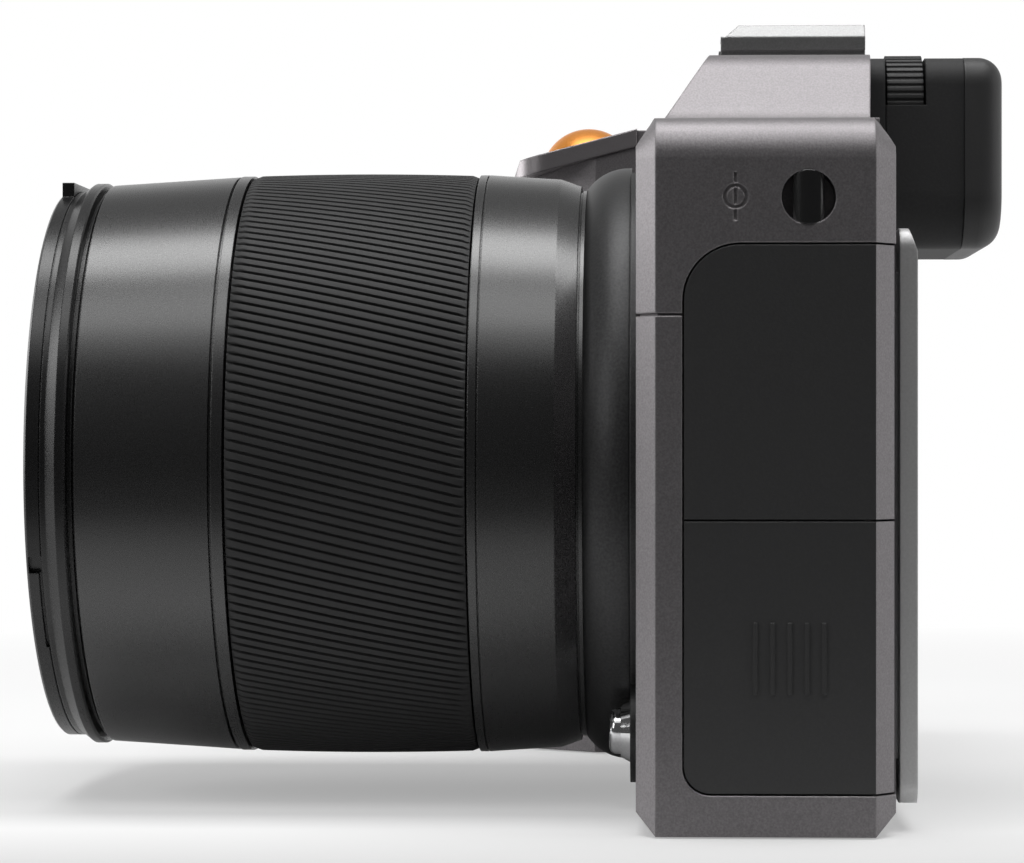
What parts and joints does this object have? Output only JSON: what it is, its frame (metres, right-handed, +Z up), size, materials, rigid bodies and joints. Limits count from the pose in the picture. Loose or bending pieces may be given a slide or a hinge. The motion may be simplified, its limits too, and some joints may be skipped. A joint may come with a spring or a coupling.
{
  "type": "medium format digital camera",
  "caption": "Compact mirrorless medium format camera body with a ribbed-ring prime lens, eyepiece, hot shoe, side doors and a deep rubber hand grip.",
  "frame": {"origin": "mouth of the tripod socket on the base plane, under the optical axis, in the sensor plane", "axes": "-Y is the way the lens points (the optical axis is X=0, Z=43 mm), +X is the camera's left side with the doors, +Z is up"},
  "size_m": [0.1508, 0.122, 0.1],
  "materials": {
    "graphite_metal": "bead-blasted satin",
    "black_anodised": "satin anodised",
    "black_plastic": "fine matte",
    "grip_rubber": "fine grain",
    "ring_rubber": "ribbed matte",
    "steel": "machined",
    "chrome": "polished",
    "orange_metal": "satin",
    "gold_contacts": "polished",
    "optical_glass": "coated",
    "display_glass": "polished",
    "circuit_board": "matte",
    "sensor_silicon": "polished",
    "bare_aluminium": "machined"
  },
  "bodies": {
    "camera": {"body_shell": "graphite_metal", "top_cover": "graphite_metal", "grip_cover": "grip_rubber", "grip_top_plate": "graphite_metal", "mount_plate": "black_anodised", "mount_collar": "black_anodised", "mount_ring": "steel", "mount_screws": "steel", "release_bezel": "chrome", "body_contacts": "gold_contacts", "sensor_frame": "bare_aluminium", "image_sensor": "sensor_silicon", "sensor_glass": "optical_glass", "main_board": "circuit_board", "display_frame": "black_anodised", "display_glass": "display_glass", "evf_housing": "black_plastic", "eyecup": "grip_rubber", "eyepiece_lens": "optical_glass", "evf_display": "display_glass", "hot_shoe": "graphite_metal", "hot_shoe_contacts": "gold_contacts", "connector_block": "black_plastic", "card_slot_block": "steel", "strap_bars": "black_anodised", "door_pins": "steel", "tripod_bush": "steel", "battery_contacts": "black_plastic"},
    "lens": {"lens_front_ring": "black_anodised", "lens_barrel": "black_anodised", "lens_rear_barrel": "black_anodised", "lens_bayonet": "chrome", "lens_contacts": "gold_contacts", "lens_elements": "optical_glass", "shutter_unit": "black_anodised", "guide_rods": "steel"},
    "focusing_group": {"focusing_group": "bare_aluminium"},
    "focus_ring": {"focus_ring": "ring_rubber"},
    "diopter_wheel": {"diopter_wheel": "black_plastic"},
    "shutter_button": {"shutter_button": "orange_metal"},
    "front_wheel": {"front_wheel": "black_anodised"},
    "rear_wheel": {"rear_wheel": "black_anodised"},
    "mode_dial_stem": {"mode_dial_stem": "steel"},
    "mode_dial": {"mode_dial": "graphite_metal"},
    "power_button": {"power_button": "graphite_metal"},
    "focus_mode_button": {"focus_mode_button": "graphite_metal"},
    "iso_button": {"iso_button": "graphite_metal"},
    "exposure_lock_button": {"exposure_lock_button": "black_plastic"},
    "focus_drive_button": {"focus_drive_button": "black_plastic"},
    "rear_key_1": {"rear_key_1": "black_plastic"},
    "rear_key_2": {"rear_key_2": "black_plastic"},
    "rear_key_3": {"rear_key_3": "black_plastic"},
    "rear_key_4": {"rear_key_4": "black_plastic"},
    "rear_key_5": {"rear_key_5": "black_plastic"},
    "connector_door": {"connector_door": "black_plastic"},
    "card_door": {"card_door": "black_plastic"},
    "battery": {"battery": "black_plastic"},
    "battery_latch": {"battery_latch": "black_anodised"},
    "lens_release": {"lens_release_button": "chrome", "lens_lock_pin": "steel"}
  },
  "joints": [
    {"name": "lens_twist", "type": "hinge", "parent": "camera", "child": "lens", "pos_m": [0, -0.01814, 0.043], "axis": [0, -1, 0], "range_deg": [0, 60]},
    {"name": "focus_ring_turn", "type": "hinge", "parent": "lens", "child": "focus_ring", "pos_m": [0, -0.04745, 0.043], "axis": [0, 1, 0], "continuous": true},
    {"name": "focusing_travel", "type": "slide", "parent": "lens", "child": "focusing_group", "axis": [0, -1, 0], "range_m": [0, 0.005]},
    {"name": "diopter_turn", "type": "hinge", "parent": "camera", "child": "diopter_wheel", "pos_m": [0.0132, 0.02235, 0.0893], "axis": [0, 1, 0], "range_deg": [-135, 135]},
    {"name": "shutter_press", "type": "slide", "parent": "camera", "child": "shutter_button", "axis": [0, 0.2521, -0.9677], "range_m": [0, 0.0012], "stiffness_N_per_m": 1200},
    {"name": "front_wheel_turn", "type": "hinge", "parent": "camera", "child": "front_wheel", "pos_m": [-0.07, -0.0218, 0.079], "axis": [0, 0, 1], "continuous": true},
    {"name": "rear_wheel_turn", "type": "hinge", "parent": "camera", "child": "rear_wheel", "pos_m": [-0.069, 0.0118, 0.0834], "axis": [0, 0, 1], "continuous": true},
    {"name": "mode_dial_lift", "type": "slide", "parent": "camera", "child": "mode_dial_stem", "axis": [0, 0, 1], "range_m": [0, 0.0036]},
    {"name": "mode_dial_turn", "type": "hinge", "parent": "mode_dial_stem", "child": "mode_dial", "pos_m": [-0.044, 0.005, 0.0916], "axis": [0, 0, 1], "continuous": true},
    {"name": "power_button_press", "type": "slide", "parent": "camera", "child": "power_button", "axis": [0, 0, -1], "range_m": [0, 0.0006], "stiffness_N_per_m": 1500},
    {"name": "focus_mode_button_press", "type": "slide", "parent": "camera", "child": "focus_mode_button", "axis": [0, 0, -1], "range_m": [0, 0.0006], "stiffness_N_per_m": 1500},
    {"name": "iso_button_press", "type": "slide", "parent": "camera", "child": "iso_button", "axis": [0, 0, -1], "range_m": [0, 0.0006], "stiffness_N_per_m": 1500},
    {"name": "exposure_lock_button_press", "type": "slide", "parent": "camera", "child": "exposure_lock_button", "axis": [0, -1, 0], "range_m": [0, 0.0006], "stiffness_N_per_m": 1500},
    {"name": "focus_drive_button_press", "type": "slide", "parent": "camera", "child": "focus_drive_button", "axis": [0, -1, 0], "range_m": [0, 0.0006], "stiffness_N_per_m": 1500},
    {"name": "rear_key_1_press", "type": "slide", "parent": "camera", "child": "rear_key_1", "axis": [0, -1, 0], "range_m": [0, 0.0006], "stiffness_N_per_m": 1500},
    {"name": "rear_key_2_press", "type": "slide", "parent": "camera", "child": "rear_key_2", "axis": [0, -1, 0], "range_m": [0, 0.0006], "stiffness_N_per_m": 1500},
    {"name": "rear_key_3_press", "type": "slide", "parent": "camera", "child": "rear_key_3", "axis": [0, -1, 0], "range_m": [0, 0.0006], "stiffness_N_per_m": 1500},
    {"name": "rear_key_4_press", "type": "slide", "parent": "camera", "child": "rear_key_4", "axis": [0, -1, 0], "range_m": [0, 0.0006], "stiffness_N_per_m": 1500},
    {"name": "rear_key_5_press", "type": "slide", "parent": "camera", "child": "rear_key_5", "axis": [0, -1, 0], "range_m": [0, 0.0006], "stiffness_N_per_m": 1500},
    {"name": "connector_door_swing", "type": "hinge", "parent": "camera", "child": "connector_door", "pos_m": [0.05513, 0.01739, 0.053], "axis": [0, 0, 1], "range_deg": [0, 95]},
    {"name": "card_door_swing", "type": "hinge", "parent": "camera", "child": "card_door", "pos_m": [0.05513, 0.01739, 0.021], "axis": [0, 0, 1], "range_deg": [0, 95]},
    {"name": "battery_slide", "type": "slide", "parent": "camera", "child": "battery", "axis": [0, 0, -1], "range_m": [0, 0.066]},
    {"name": "battery_latch_turn", "type": "hinge", "parent": "camera", "child": "battery_latch", "pos_m": [-0.0695, 0.004, 0.001], "axis": [0, 0, 1], "range_deg": [0, 90]},
    {"name": "lens_release_press", "type": "slide", "parent": "camera", "child": "lens_release", "axis": [0, 1, 0], "range_m": [0, 0.0012], "stiffness_N_per_m": 1500}
  ]
}
